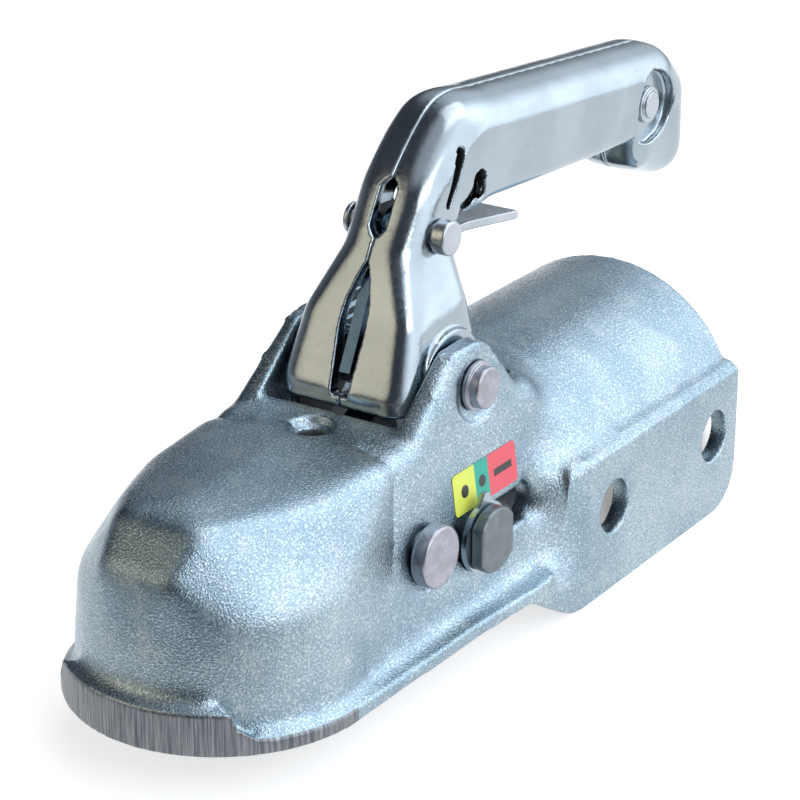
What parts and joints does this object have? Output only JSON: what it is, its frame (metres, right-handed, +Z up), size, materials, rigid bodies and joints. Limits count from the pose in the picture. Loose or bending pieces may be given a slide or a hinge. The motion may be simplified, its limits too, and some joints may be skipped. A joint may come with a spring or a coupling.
{
  "type": "trailer coupling head",
  "caption": "Cast ball coupling head for a trailer drawbar, with a pressed lever, a safety catch, a ball jaw and a sliding indicator bolt.",
  "frame": {"origin": "centre of the towing ball in its socket", "axes": "+X to the nose, away from the drawbar; +Y to the side with the indicator; +Z up"},
  "size_m": [0.2376, 0.0808, 0.1307],
  "materials": {
    "zinc_cast": "zinc-plated casting, bright bluish silver, fine cast grain",
    "zinc_pressed": "zinc-plated pressed steel, satin",
    "dark_steel": "dark burnished steel",
    "bolt_steel": "plated bolt steel, worn flat faces",
    "jaw_iron": "cast, phosphated",
    "bush_bronze": "sintered bronze",
    "label": "printed film in yellow, green and red fields"
  },
  "bodies": {
    "housing": {"housing": "zinc_cast", "lever_pivot_pin": "bolt_steel", "pivot_ring": "dark_steel", "jaw_bolt": "bolt_steel", "jaw_nut": "zinc_pressed", "main_spring": "dark_steel", "spring_rod": "zinc_pressed", "spring_seat": "zinc_pressed", "status_label": "label"},
    "lever": {"handle_shell_left": "zinc_pressed", "handle_shell_right": "zinc_pressed", "end_rivet": "zinc_pressed", "pivot_spacer": "zinc_pressed", "link_pin": "bolt_steel", "catch_pin": "zinc_pressed", "catch_spring": "dark_steel"},
    "catch": {"latch_trigger": "zinc_pressed", "lock_blade": "dark_steel"},
    "jaw": {"ball_jaw": "jaw_iron", "jaw_bush": "bush_bronze"},
    "slider": {"slider": "jaw_iron", "pull_link": "dark_steel", "indicator_bolt": "bolt_steel", "pointer_washer": "zinc_pressed", "indicator_ring": "dark_steel"}
  },
  "joints": [
    {"name": "lever_lift", "type": "hinge", "parent": "housing", "child": "lever", "pos_m": [-0.0674, 0, 0.045], "axis": [0, 1, 0], "range_deg": [0, 55]},
    {"name": "catch_pull", "type": "hinge", "parent": "lever", "child": "catch", "pos_m": [-0.072, 0, 0.0787], "axis": [0, 1, 0], "range_deg": [0, 9], "stiffness_Nm_per_rad": 0.6, "springref_deg": -14.32},
    {"name": "jaw_swing", "type": "hinge", "parent": "housing", "child": "jaw", "pos_m": [-0.0386, 0, 0.0132], "axis": [0, 1, 0], "range_deg": [0, 18]},
    {"name": "slider_travel", "type": "slide", "parent": "housing", "child": "slider", "axis": [-1, 0, 0], "range_m": [0, 0.01848], "stiffness_N_per_m": 1500, "springref_m": -0.012, "deforming": ["main_spring"]}
  ],
  "couplings": [
    {"joint": "slider_travel", "follows": "lever_lift", "m_per_rad": 0.019241},
    {"joint": "jaw_swing", "follows": "lever_lift", "ratio": 0.32727}
  ]
}
